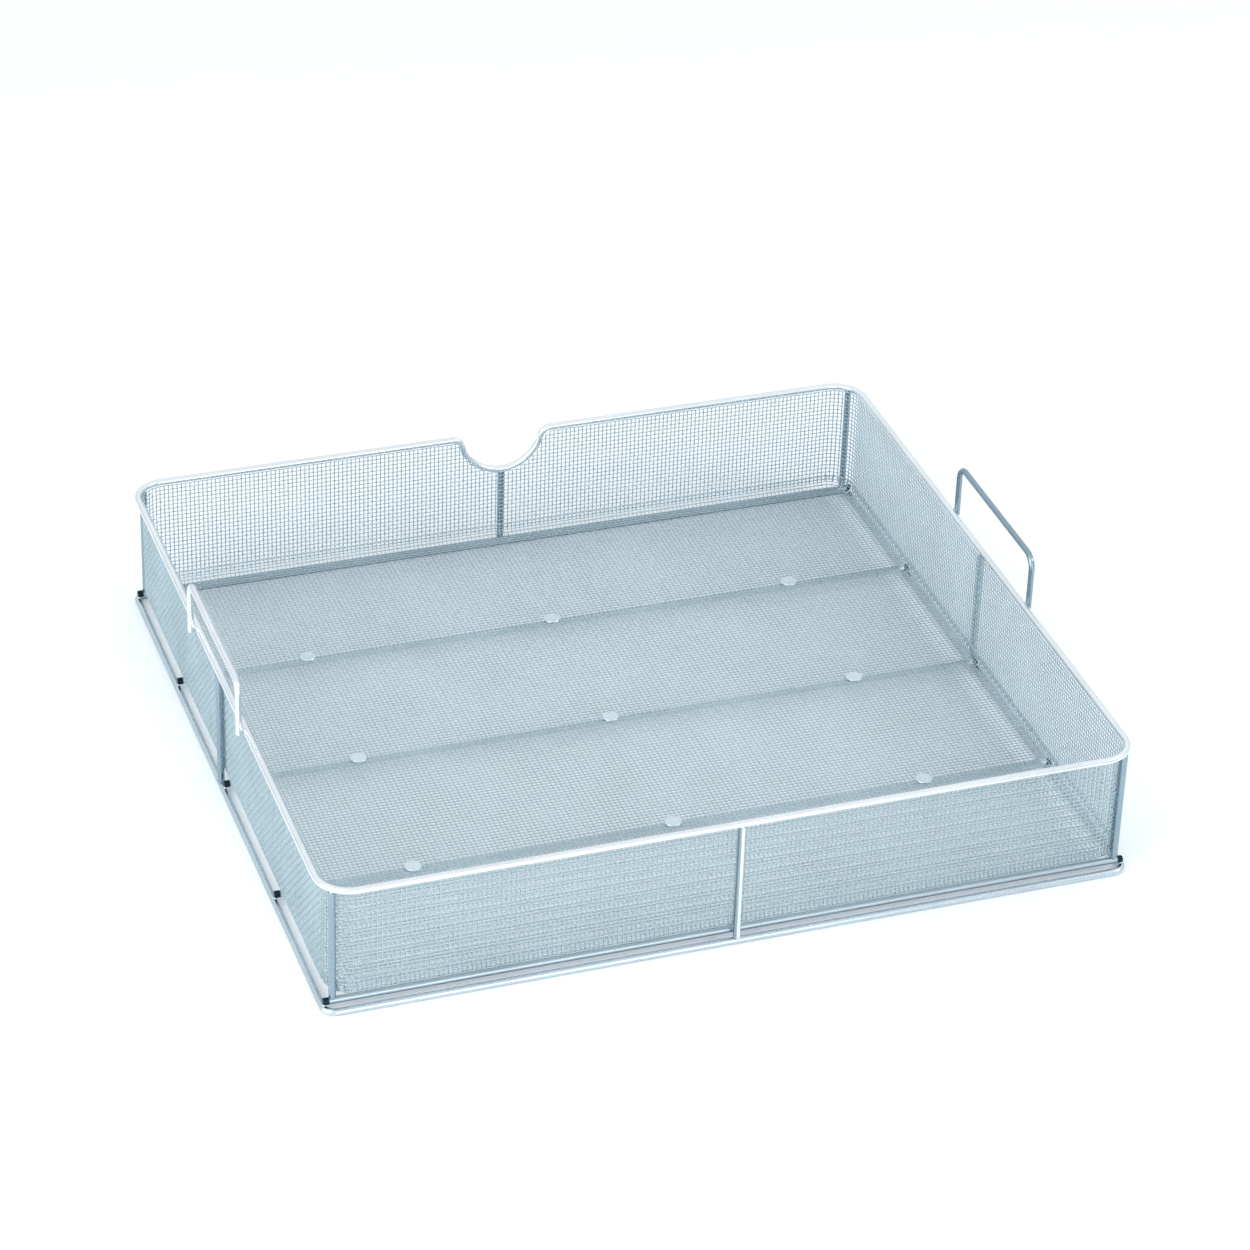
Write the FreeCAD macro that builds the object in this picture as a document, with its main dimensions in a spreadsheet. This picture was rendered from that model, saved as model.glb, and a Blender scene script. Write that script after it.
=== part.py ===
import FreeCAD, Part
import os
import Sketcher

os.makedirs("parts", exist_ok=True)

# Driving dimensions in millimetres.
SIZES = {
    "frame_width": 460.0,
    "frame_depth": 430.0,
    "frame_height": 80.0,
    "rim_wire": 4.0,
    "rim_corner": 18.0,
    "notch_depth": 24.6,
    "notch_bowl": 25.5,
    "notch_shoulder": 7.0,
    "base_wire": 4.0,
    "base_corner": 7.0,
    "rod_wire": 4.0,
    "rod_spacing": 109.0,
    "post_wire": 4.0,
    "side_post_shift": 6.0,
    "handle_wire": 3.5,
    "handle_spread": 107.0,
    "handle_rise": 30.0,
    "handle_bend": 8.0,
    "handle_lap": 5.0,
    "seat_gap": 0.1,
    "cloth_core": 0.5,
    "ridge_rise": 0.3,
    "ridge_width": 2.0,
    "fold_radius": 3.5,
    "lip_rise": 5.0,
    "floor_band": 8.0,
    "floor_columns": 9,
    "bay_rows": 3,
    "wall_band": 7.0,
    "wall_half_columns": 4,
    "wall_rows": 2,
    "spot_diameter": 10.0,
    "spot_thickness": 0.4,
    "spot_spread": 150.0,
}

doc = FreeCAD.newDocument("strainer_basket")
sheet = doc.addObject("Spreadsheet::Sheet", "size")
for row, (alias, number) in enumerate(SIZES.items(), start=1):
    sheet.set("A%d" % row, alias)
    sheet.set("B%d" % row, str(number))
    sheet.setAlias("B%d" % row, alias)
doc.recompute()

# Centrelines of the rim and the base, and the heights of the layers from the ground up.
RIM_X = "((size.frame_width - size.rim_wire) / 2)"
RIM_Y = "((size.frame_depth - size.rim_wire) / 2)"
RIM_Z = "(size.frame_height - size.rim_wire / 2)"
RIM_UNDERSIDE = "(size.frame_height - size.rim_wire - size.seat_gap)"
BASE_TOP = "(size.base_wire + size.seat_gap)"
ROD_Z = "(%s + size.rod_wire / 2)" % BASE_TOP
ROD_TOP = "(%s + size.rod_wire + size.seat_gap)" % BASE_TOP
CLOTH = "(size.cloth_core + 2 * size.ridge_rise)"

# The outer faces of the wall cloth lie inside the rim wire.
WALL_X = "(%s - size.rim_wire / 2 - size.seat_gap)" % RIM_X
WALL_Y = "(%s - size.rim_wire / 2 - size.seat_gap)" % RIM_Y
WALL_CORNER = "(size.rim_corner - size.rim_wire / 2 - size.seat_gap)"
WALL_FOOT = "(%s + size.ridge_rise + size.fold_radius)" % ROD_TOP

# The floor cloth is a shallow pan whose lip stands inside the wall cloth.
PAN_X = "(%s - %s - size.seat_gap)" % (WALL_X, CLOTH)
PAN_Y = "(%s - %s - size.seat_gap)" % (WALL_Y, CLOTH)
PAN_CORNER = "(%s - %s - size.seat_gap)" % (WALL_CORNER, CLOTH)

# The corner posts stand on the edge rods, outside the rounded corners of the wall cloth.
POST_REACH = "((%s + size.seat_gap + size.post_wire / 2) * sqrt(0.5))" % WALL_CORNER
CORNER_POST_X = "(%s - %s + %s)" % (WALL_X, WALL_CORNER, POST_REACH)
CORNER_POST_Y = "(%s - %s + %s)" % (WALL_Y, WALL_CORNER, POST_REACH)
SIDE_POST_X = "(%s + size.seat_gap + size.post_wire / 2)" % WALL_X
END_POST_Y = "(%s + size.seat_gap + size.post_wire / 2)" % WALL_Y

# The notch leaves the straight rim where its shoulders begin.
NOTCH_BEND = "(size.notch_bowl + size.notch_shoulder)"
NOTCH_X = "sqrt(size.notch_depth * (2 * %s - size.notch_depth))" % NOTCH_BEND
NOTCH_BOTTOM = "(%s - size.notch_depth)" % RIM_Z

HANDLE_X = "(%s + (size.rim_wire + size.handle_wire) / 2 + size.seat_gap)" % RIM_X


def value(expression):
    return float(sheet.evalExpression(expression))


def point(x, y):
    return FreeCAD.Vector(value(x), value(y), 0)


def new_body(label, x="0", y="0", z="0"):
    body = doc.addObject("PartDesign::Body", label)
    body.Label = label
    for axis, place in zip("xyz", (x, y, z)):
        body.setExpression("Placement.Base." + axis, place)
    return body


def origin_feature(body, role):
    return [f for f in body.Origin.OriginFeatures if f.Role == role][0]


def new_sketch(body, role, offset="0"):
    sketch = body.newObject("Sketcher::SketchObject", body.Label + "_sketch")
    sketch.AttachmentSupport = (origin_feature(body, role), "")
    sketch.MapMode = "FlatFace"
    sketch.setExpression("AttachmentOffset.Base.z", offset)
    return sketch


def new_feature(body, kind, **settings):
    """Adds a PartDesign feature: a text is bound as an expression, the rest is set."""
    feature = body.newObject("PartDesign::" + kind, body.Label + "_" + kind.lower())
    for name, setting in settings.items():
        if isinstance(setting, str):
            feature.setExpression(name, setting)
        else:
            setattr(feature, name, setting)
    return feature


def edge_names(shape, chosen):
    return ["Edge%d" % number for number, edge in enumerate(shape.Edges, start=1) if chosen(edge)]


def face_names(shape, chosen):
    return ["Face%d" % number for number, face in enumerate(shape.Faces, start=1) if chosen(face)]


def is_upright(edge):
    return edge.BoundBox.ZLength > 1e-6


def is_level(part):
    return part.BoundBox.ZLength < 1e-6


def lies_at(height):
    return lambda part: is_level(part) and abs(part.BoundBox.ZMin - height) < 1e-6


def set_dimension(sketch, constraint, name, expression):
    index = sketch.addConstraint(constraint)
    sketch.renameConstraint(index, name)
    sketch.setExpression("Constraints." + name, expression)


def pin(sketch, geometry, vertex, axis, expression):
    """Holds a vertex at a distance from the sketch's origin along X or Y."""
    distance = value(expression)
    name = "at_%d_%d_%s" % (geometry, vertex, axis)
    ends = (geometry, vertex, -1, 1) if distance < 0 else (-1, 1, geometry, vertex)
    measure = "-(%s)" % expression if distance < 0 else expression
    constraint = Sketcher.Constraint("Distance" + axis, *ends, abs(distance))
    set_dimension(sketch, constraint, name, measure)


def add_circle(sketch, x, y, diameter):
    circle = sketch.addGeometry(Part.Circle(point(x, y), FreeCAD.Vector(0, 0, 1), value(diameter) / 2))
    constraint = Sketcher.Constraint("Diameter", circle, value(diameter))
    set_dimension(sketch, constraint, "diameter", diameter)
    pin(sketch, circle, 3, "X", x)
    pin(sketch, circle, 3, "Y", y)


def add_twelve_sides(sketch, x, y, across):
    """A regular outline of twelve sides, four of them square to the sketch's axes."""
    near = "(%s / 2 * (2 - sqrt(3)))" % across
    even = "(%s / 2 * (sqrt(3) - 1))" % across
    far = "(%s / 2)" % across
    quarter = [(far, near), (even, even), (near, far)]
    corners = []
    for sign_x, sign_y in (("+", "+"), ("-", "+"), ("-", "-"), ("+", "-")):
        turn = quarter if sign_x == sign_y else quarter[::-1]
        corners += [("(%s %s %s)" % (x, sign_x, out), "(%s %s %s)" % (y, sign_y, up)) for out, up in turn]
    sides = []
    for start, end in zip(corners, corners[1:] + corners[:1]):
        sides.append(sketch.addGeometry(Part.LineSegment(point(*start), point(*end))))
    for number, (side, corner) in enumerate(zip(sides, corners)):
        sketch.addConstraint(Sketcher.Constraint("Coincident", sides[number - 1], 2, side, 1))
        pin(sketch, side, 1, "X", corner[0])
        pin(sketch, side, 1, "Y", corner[1])


def add_rectangle(sketch, x_low, x_high, y_low, y_high):
    low_right = point(x_high, y_low)
    high_left = point(x_low, y_high)
    corners = [point(x_low, y_low), low_right, point(x_high, y_high), high_left]
    sides = []
    for start, end in zip(corners, corners[1:] + corners[:1]):
        sides.append(sketch.addGeometry(Part.LineSegment(start, end)))
    for number, side in enumerate(sides):
        following = sides[(number + 1) % 4]
        sketch.addConstraint(Sketcher.Constraint("Coincident", side, 2, following, 1))
        direction = "Vertical" if number % 2 else "Horizontal"
        sketch.addConstraint(Sketcher.Constraint(direction, side))
    pin(sketch, sides[0], 1, "X", x_low)
    pin(sketch, sides[0], 1, "Y", y_low)
    pin(sketch, sides[2], 1, "X", x_high)
    pin(sketch, sides[2], 1, "Y", y_high)


def join_tangent(sketch, first, second, meeting):
    """Makes the end of one curve tangent to the start of the next, where they meet."""
    vertices = []
    for geometry in (first, second):
        near_start = (sketch.getPoint(geometry, 1) - meeting).Length < 1e-6
        vertices.append(1 if near_start else 2)
    constraint = Sketcher.Constraint("Tangent", first, vertices[0], second, vertices[1])
    sketch.addConstraint(constraint)


def add_bent_path(sketch, corners, radius):
    """Joins corner points, given as pairs of expressions, by straight runs and tangent arcs."""
    places = [point(x, y) for x, y in corners]
    bend = value(radius)
    last = len(places) - 2
    runs = []
    for number, (here, there) in enumerate(zip(places, places[1:])):
        step = (there - here).normalize() * bend
        start = here if number == 0 else here + step
        end = there if number == last else there - step
        run = sketch.addGeometry(Part.LineSegment(start, end))
        level = corners[number][1] == corners[number + 1][1]
        sketch.addConstraint(Sketcher.Constraint("Horizontal" if level else "Vertical", run))
        across = ("Y", corners[number][1]) if level else ("X", corners[number][0])
        pin(sketch, run, 1, *across)
        runs.append(run)
    for number, corner in enumerate(places[1:-1]):
        before = corner + (places[number] - corner).normalize() * bend
        after = corner + (places[number + 2] - corner).normalize() * bend
        middle = corner + (before + after - corner * 2) * (1 - 0.5 ** 0.5)
        arc = sketch.addGeometry(Part.Arc(before, middle, after))
        set_dimension(sketch, Sketcher.Constraint("Radius", arc, bend), "bend_%d" % arc, radius)
        join_tangent(sketch, runs[number], arc, before)
        join_tangent(sketch, arc, runs[number + 1], after)
    along = "X" if corners[0][1] == corners[1][1] else "Y"
    pin(sketch, runs[0], 1, along, corners[0]["XY".index(along)])
    along = "X" if corners[-1][1] == corners[-2][1] else "Y"
    pin(sketch, runs[-1], 2, along, corners[-1]["XY".index(along)])


def add_pipe(body, profile, path):
    pipe = new_feature(body, "AdditivePipe", Profile=profile)
    pipe.Spine = (path, [])
    return pipe


def mirror_across_middle(body, originals):
    mirror = new_feature(body, "Mirrored", Originals=originals)
    mirror.MirrorPlane = (origin_feature(body, "YZ_Plane"), [""])
    body.Tip = mirror


def half_loop(body, height, wire, radius, back_end):
    """Bends a wire from the middle of the front, round one side, to the back."""
    path = new_sketch(body, "XY_Plane", height)
    front_y = "-(%s)" % RIM_Y
    corners = [("0", front_y), (RIM_X, front_y), (RIM_X, RIM_Y), (back_end, RIM_Y)]
    add_bent_path(path, corners, radius)
    profile = new_sketch(body, "YZ_Plane")
    add_twelve_sides(profile, front_y, height, wire)
    return add_pipe(body, profile, path)


def add_notch_path(sketch, closed=False):
    """Half of the notch: its bowl from the bottom up, then the shoulder to the straight rim."""
    bowl = value("size.notch_bowl")
    shoulder = value("size.notch_shoulder")
    bottom = point("0", NOTCH_BOTTOM)
    bowl_centre = bottom + FreeCAD.Vector(0, bowl, 0)
    top = point(NOTCH_X, RIM_Z)
    shoulder_centre = top - FreeCAD.Vector(0, shoulder, 0)
    outward = (shoulder_centre - bowl_centre).normalize()
    meeting = bowl_centre + outward * bowl
    bowl_side = (bottom + meeting) / 2 - bowl_centre
    bowl_middle = bowl_centre + bowl_side.normalize() * bowl
    shoulder_side = (top + meeting) / 2 - shoulder_centre
    shoulder_middle = shoulder_centre + shoulder_side.normalize() * shoulder
    lower = sketch.addGeometry(Part.Arc(bottom, bowl_middle, meeting))
    upper = sketch.addGeometry(Part.Arc(meeting, shoulder_middle, top))
    for arc, name in ((lower, "bowl"), (upper, "shoulder")):
        radius = Sketcher.Constraint("Radius", arc, value("size.notch_" + name))
        set_dimension(sketch, radius, name, "size.notch_" + name)
    join_tangent(sketch, lower, upper, meeting)
    bottom_vertex = 1 if (sketch.getPoint(lower, 1) - bottom).Length < 1e-6 else 2
    top_vertex = 1 if (sketch.getPoint(upper, 1) - top).Length < 1e-6 else 2
    pin(sketch, lower, bottom_vertex, "X", "0")
    pin(sketch, lower, bottom_vertex, "Y", NOTCH_BOTTOM)
    pin(sketch, lower, 3, "X", "0")
    pin(sketch, upper, top_vertex, "X", NOTCH_X)
    pin(sketch, upper, top_vertex, "Y", RIM_Z)
    if closed:
        roof = sketch.addGeometry(Part.LineSegment(top, point("0", RIM_Z)))
        middle = sketch.addGeometry(Part.LineSegment(point("0", RIM_Z), bottom))
        sketch.addConstraint(Sketcher.Constraint("Coincident", upper, top_vertex, roof, 1))
        sketch.addConstraint(Sketcher.Constraint("Coincident", roof, 2, middle, 1))
        sketch.addConstraint(Sketcher.Constraint("Coincident", middle, 2, lower, bottom_vertex))
        pin(sketch, roof, 2, "X", "0")
        pin(sketch, roof, 2, "Y", RIM_Z)


def build_top_rim():
    """A closed loop of wire that dips at the middle of the back."""
    body = new_body("top_rim")
    side = half_loop(body, RIM_Z, "size.rim_wire", "size.rim_corner", NOTCH_X)
    path = new_sketch(body, "XZ_Plane", "-(%s)" % RIM_Y)
    add_notch_path(path)
    profile = new_sketch(body, "YZ_Plane")
    add_twelve_sides(profile, RIM_Y, NOTCH_BOTTOM, "size.rim_wire")
    notch = add_pipe(body, profile, path)
    mirror_across_middle(body, [side, notch])
    return body


def build_base_rim():
    """A closed loop of wire on the ground under the rim."""
    body = new_body("base_rim")
    half = half_loop(body, "size.base_wire / 2", "size.base_wire", "size.base_corner", "0")
    mirror_across_middle(body, [half])
    return body


def build_cross_rod(label, y):
    """A straight rod across the base, with both ends over the middle of the base wire."""
    body = new_body(label, y=y, z=ROD_Z)
    profile = new_sketch(body, "YZ_Plane")
    add_circle(profile, "0", "0", "size.rod_wire")
    new_feature(body, "Pad", Profile=profile, Midplane=True, Length="2 * %s" % RIM_X)
    return body


def build_post(label, x, y, foot, top):
    """A straight upright wire."""
    body = new_body(label, x=x, y=y, z=foot)
    profile = new_sketch(body, "XY_Plane")
    add_circle(profile, "0", "0", "size.post_wire")
    new_feature(body, "Pad", Profile=profile, Length="%s - %s" % (top, foot))
    return body


def build_handle(label, x):
    """A wire bail with two legs beside the rim and a straight grip above it."""
    body = new_body(label, x=x)
    leg = "(size.handle_spread / 2)"
    foot = "(size.frame_height - size.handle_lap)"
    grip = "(size.frame_height + size.handle_rise - size.handle_wire / 2)"
    path = new_sketch(body, "YZ_Plane")
    corners = [("-" + leg, foot), ("-" + leg, grip), (leg, grip), (leg, foot)]
    add_bent_path(path, corners, "size.handle_bend")
    profile = new_sketch(body, "XY_Plane", foot)
    add_twelve_sides(profile, "0", "-" + leg, "size.handle_wire")
    add_pipe(body, profile, path)
    return body


def repeat(body, original, sketch, columns="1", pitch="0", rows="1", rise="0", mirrors=()):
    """Repeats a feature in columns and rows of its sketch, then across the given planes."""
    steps = []
    for axis, count, step in (("H_Axis", columns, pitch), ("V_Axis", rows, rise)):
        if count == "1":
            continue
        line = new_feature(body, "LinearPattern", Direction=(sketch, [axis]))
        line.setExpression("Occurrences", count)
        line.setExpression("Length", "%s * (%s - 1)" % (step, count))
        steps.append(line)
    for role in mirrors:
        plane = (origin_feature(body, role), [""])
        steps.append(new_feature(body, "Mirrored", MirrorPlane=plane))
    pattern = new_feature(body, "MultiTransform", Originals=[original], Transformations=steps)
    body.Tip = pattern


def cut_gaps(body, plane, face, boxes, **pattern):
    """Cuts rectangles from a face of the cloth through it, and repeats the cuts."""
    sketch = new_sketch(body, plane, face)
    for box in boxes:
        add_rectangle(sketch, *box)
    gaps = new_feature(body, "Pocket", Profile=sketch, Length=CLOTH)
    repeat(body, gaps, sketch, **pattern)


def raise_ridges(body, plane, face, boxes, outside, **pattern):
    """Raises rectangles on the outer or the inner side of the cloth, and repeats them."""
    sketch = new_sketch(body, plane, face if outside else "(%s - %s)" % (face, CLOTH))
    for box in boxes:
        add_rectangle(sketch, *box)
    ridges = new_feature(body, "Pad", Profile=sketch, Length="size.ridge_rise", Reversed=outside)
    if pattern:
        repeat(body, ridges, sketch, **pattern)


def around(middle):
    """The low and high limits of a ridge along a line."""
    return ("(%s - size.ridge_width / 2)" % middle, "(%s + size.ridge_width / 2)" % middle)


def open_rows(start, rise, band, count):
    """The low and high limits of the open rows between bands of cloth."""
    limits = []
    for row in range(count):
        low = "(%s + %s * %d + %s)" % (start, rise, row, band)
        high = "(%s + %s * %d - %s)" % (start, rise, row + 1, band)
        limits.append((low, high))
    return limits


def levels_between(start, rise, count):
    return ["(%s + %s * %d)" % (start, rise, row) for row in range(1, count)]


def start_cloth(body, x, y, corner, foot, height):
    """A block with rounded upright edges, from which the cloth is hollowed out."""
    outline = new_sketch(body, "XY_Plane", foot)
    add_rectangle(outline, "-" + x, x, "-" + y, y)
    block = new_feature(body, "Pad", Profile=outline, Length=height)
    doc.recompute()
    return new_feature(body, "Fillet", Base=(block, edge_names(block.Shape, is_upright)), Radius=corner)


def hollow(body, block, faces):
    return new_feature(body, "Thickness", Base=(block, faces), Value="size.cloth_core", Reversed=True)


def weave_wall(body, plane, reach, span, notched):
    """The open rows and the ridges of one wall and of the wall opposite."""
    columns = "(2 * size.wall_half_columns)"
    pitch = "(2 * %s / %s)" % (span, columns)
    foot = "(%s + size.lip_rise)" % WALL_FOOT
    rise = "((size.frame_height - size.rim_wire - %s) / size.wall_rows)" % foot
    band = "size.wall_band / 2"
    count = int(value("size.wall_rows"))
    rows = open_rows(foot, rise, band, count)
    first = ("(%s - %s)" % (band, span), "(%s - %s - %s)" % (pitch, span, band))
    middle = (band, "(%s - %s)" % (pitch, band))
    if notched:
        cut_gaps(body, plane, reach, [first + row for row in rows],
                 columns="(size.wall_half_columns - 1)", pitch=pitch, mirrors=["YZ_Plane", plane])
        cut_gaps(body, plane, reach, [middle + row for row in rows[:-1]], mirrors=["YZ_Plane", plane])
        cut_gaps(body, plane, reach, [middle + rows[-1]], mirrors=["YZ_Plane"])
    else:
        cut_gaps(body, plane, reach, [first + row for row in rows],
                 columns=columns, pitch=pitch, mirrors=[plane])
    length = ("-" + span, span)
    bands = [length + around(level) for level in levels_between(foot, rise, count)]
    hem = length + ("(%s - size.ridge_width)" % RIM_Z, RIM_Z)
    raise_ridges(body, plane, reach, bands + [hem], True, mirrors=[plane])
    upright = around("(%s - %s)" % (pitch, span)) + (WALL_FOOT, RIM_Z)
    raise_ridges(body, plane, reach, [upright], False,
                 columns="(%s - 1)" % columns, pitch=pitch, mirrors=[plane])


def build_wall_mesh():
    """A band of cloth round the four walls, cut out along the notch of the rim."""
    body = new_body("wall_mesh")
    core_x = "(%s - size.ridge_rise)" % WALL_X
    core_y = "(%s - size.ridge_rise)" % WALL_Y
    corner = "(%s - size.ridge_rise)" % WALL_CORNER
    block = start_cloth(body, core_x, core_y, corner, WALL_FOOT, "(%s - %s)" % (RIM_Z, WALL_FOOT))
    doc.recompute()
    hollow(body, block, face_names(block.Shape, is_level))
    weave_wall(body, "XZ_Plane", WALL_Y, "(%s - %s)" % (WALL_X, WALL_CORNER), True)
    weave_wall(body, "YZ_Plane", WALL_X, "(%s - %s)" % (WALL_Y, WALL_CORNER), False)
    outline = new_sketch(body, "XZ_Plane", "-(%s)" % WALL_Y)
    add_notch_path(outline, closed=True)
    notch = new_feature(body, "Pocket", Profile=outline, Length=CLOTH, Reversed=True)
    repeat(body, notch, outline, mirrors=["YZ_Plane"])
    return body


def build_floor_mesh():
    """A shallow pan of cloth that lies on the rods, folded up inside the walls."""
    body = new_body("floor_mesh")
    underside = "(%s + size.ridge_rise)" % ROD_TOP
    height = "(size.fold_radius + size.lip_rise)"
    block = start_cloth(body, PAN_X, PAN_Y, PAN_CORNER, underside, height)
    doc.recompute()
    lower_edges = edge_names(block.Shape, lies_at(value(underside)))
    fold = new_feature(body, "Fillet", Base=(block, lower_edges), Radius="size.fold_radius")
    doc.recompute()
    hollow(body, fold, face_names(fold.Shape, lies_at(value("%s + %s" % (underside, height)))))

    top = "(%s + %s)" % (ROD_TOP, CLOTH)
    band = "size.floor_band / 2"
    half_x = "(%s - size.fold_radius - %s)" % (PAN_X, band)
    half_y = "(%s - size.fold_radius - %s)" % (PAN_Y, band)
    pitch = "(2 * %s / size.floor_columns)" % half_x
    first = ("(%s - %s)" % (band, half_x), "(%s - %s - %s)" % (pitch, half_x, band))
    length = ("(%s - %s)" % (band, half_x), "(%s - %s)" % (half_x, band))
    count = int(value("size.bay_rows"))
    levels = ["0"]
    for start, end in ((half_y, "size.rod_spacing"), ("size.rod_spacing", "0")):
        rise = "((%s - %s) / size.bay_rows)" % (start, end)
        cut_gaps(body, "XY_Plane", top, [first + row for row in open_rows("-" + start, rise, band, count)],
                 columns="size.floor_columns", pitch=pitch, mirrors=["XZ_Plane"])
        levels += levels_between("-" + start, rise, count)
        levels += levels_between(end, rise, count)
    levels += ["-size.rod_spacing", "size.rod_spacing"]
    raise_ridges(body, "XY_Plane", top, [length + around(level) for level in levels], True)
    depth = ("(%s - %s)" % (band, half_y), "(%s - %s)" % (half_y, band))
    upright = around("(%s - %s)" % (pitch, half_x)) + depth
    raise_ridges(body, "XY_Plane", top, [upright], False, columns="(size.floor_columns - 1)", pitch=pitch)
    return body


def build_weld_spots():
    """Flat round welds on the floor cloth, three over each inner rod."""
    body = new_body("weld_spots")
    seat = "(%s + %s + size.seat_gap)" % (ROD_TOP, CLOTH)
    outline = new_sketch(body, "XY_Plane", seat)
    add_twelve_sides(outline, "-size.spot_spread", "-size.rod_spacing", "size.spot_diameter")
    spot = new_feature(body, "Pad", Profile=outline, Length="size.spot_thickness")
    repeat(body, spot, outline, columns="3", pitch="size.spot_spread", rows="3", rise="size.rod_spacing")
    return body


parts = [build_top_rim(), build_base_rim()]

EDGE_ROD_Y = "(%s)" % CORNER_POST_Y
RODS = (("front_edge_rod", "-" + EDGE_ROD_Y), ("front_rod", "-size.rod_spacing"), ("middle_rod", "0"),
        ("back_rod", "size.rod_spacing"), ("back_edge_rod", EDGE_ROD_Y))
for label, y in RODS:
    parts.append(build_cross_rod(label, y))

for end, end_sign in (("front", "-"), ("back", "")):
    for side, side_sign in (("left", "-"), ("right", "")):
        label = "corner_post_%s_%s" % (end, side)
        x = side_sign + CORNER_POST_X
        parts.append(build_post(label, x, end_sign + CORNER_POST_Y, ROD_TOP, RIM_UNDERSIDE))

UNDER_NOTCH = "(%s - size.notch_depth)" % RIM_UNDERSIDE
parts.append(build_post("mid_post_front", "0", "-" + END_POST_Y, BASE_TOP, RIM_UNDERSIDE))
parts.append(build_post("mid_post_back", "0", END_POST_Y, BASE_TOP, UNDER_NOTCH))
parts.append(build_post("mid_post_left", "-" + SIDE_POST_X, "size.side_post_shift", BASE_TOP, RIM_UNDERSIDE))
parts.append(build_post("mid_post_right", SIDE_POST_X, "size.side_post_shift", BASE_TOP, RIM_UNDERSIDE))

parts.append(build_handle("handle_left", "-" + HANDLE_X))
parts.append(build_handle("handle_right", HANDLE_X))
parts.append(build_wall_mesh())
parts.append(build_floor_mesh())
parts.append(build_weld_spots())
doc.recompute()

for feature in doc.Objects:
    if {"Invalid", "Error"} & set(feature.State):
        raise RuntimeError("%s is not sound: %s" % (feature.Name, feature.State))

for part in parts:
    if part.Shape.isNull() or not part.Shape.isValid():
        raise RuntimeError("%s has no valid shape" % part.Label)
    part.Shape.exportStep("parts/%s.step" % part.Label)
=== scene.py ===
"""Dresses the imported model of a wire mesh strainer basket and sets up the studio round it."""

import math
import random

import bmesh
import bpy
import numpy as np
from mathutils import Matrix, Vector


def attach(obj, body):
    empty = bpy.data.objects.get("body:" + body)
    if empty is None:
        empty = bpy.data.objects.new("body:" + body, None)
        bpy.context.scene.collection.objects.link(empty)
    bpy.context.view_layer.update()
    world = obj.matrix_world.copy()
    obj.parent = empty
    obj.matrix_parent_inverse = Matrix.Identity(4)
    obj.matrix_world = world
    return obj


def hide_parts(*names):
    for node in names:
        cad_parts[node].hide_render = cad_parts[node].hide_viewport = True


bl_info = {
    "name": "Wire Mesh Strainer Basket",
    "version": (1, 0, 0),
    "blender": (4, 5, 0),
    "location": "3D View > Sidebar > Basket",
    "description": "Builds the wires and the woven steel cloth of a strainer basket",
    "category": "Object",
}

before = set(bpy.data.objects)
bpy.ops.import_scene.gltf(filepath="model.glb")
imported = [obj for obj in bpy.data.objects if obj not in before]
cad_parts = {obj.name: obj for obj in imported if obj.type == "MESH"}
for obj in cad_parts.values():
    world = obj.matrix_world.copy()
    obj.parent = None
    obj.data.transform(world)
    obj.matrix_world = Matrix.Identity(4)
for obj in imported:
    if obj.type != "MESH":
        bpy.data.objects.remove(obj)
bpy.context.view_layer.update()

UP = np.array((0.0, 0.0, 1.0))
ALONG_X = np.array((1.0, 0.0, 0.0))
ALONG_Y = np.array((0.0, 1.0, 0.0))
SEAT_GAP = 0.0001
SHARP_EDGE = math.radians(35)
CORNERS = ((1, 1), (-1, 1), (-1, -1), (1, -1))
ROD_NAMES = ("front_edge_rod", "front_rod", "middle_rod", "back_rod", "back_edge_rod")
CORNER_POSTS = ("corner_post_front_left", "corner_post_front_right", "corner_post_back_left",
                "corner_post_back_right")
MID_POSTS = ("mid_post_front", "mid_post_back", "mid_post_left", "mid_post_right")


def length(name, description, default):
    return bpy.props.FloatProperty(name=name, description=description, default=default, min=0.0,
                                   precision=5, unit="LENGTH")


def colour(name, description, default):
    return bpy.props.FloatVectorProperty(name=name, description=description, default=default,
                                         size=3, min=0.0, max=1.0, subtype="COLOR")


def share(name, description, default):
    return bpy.props.FloatProperty(name=name, description=description, default=default, min=0.0,
                                   max=1.0, subtype="FACTOR")


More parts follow.
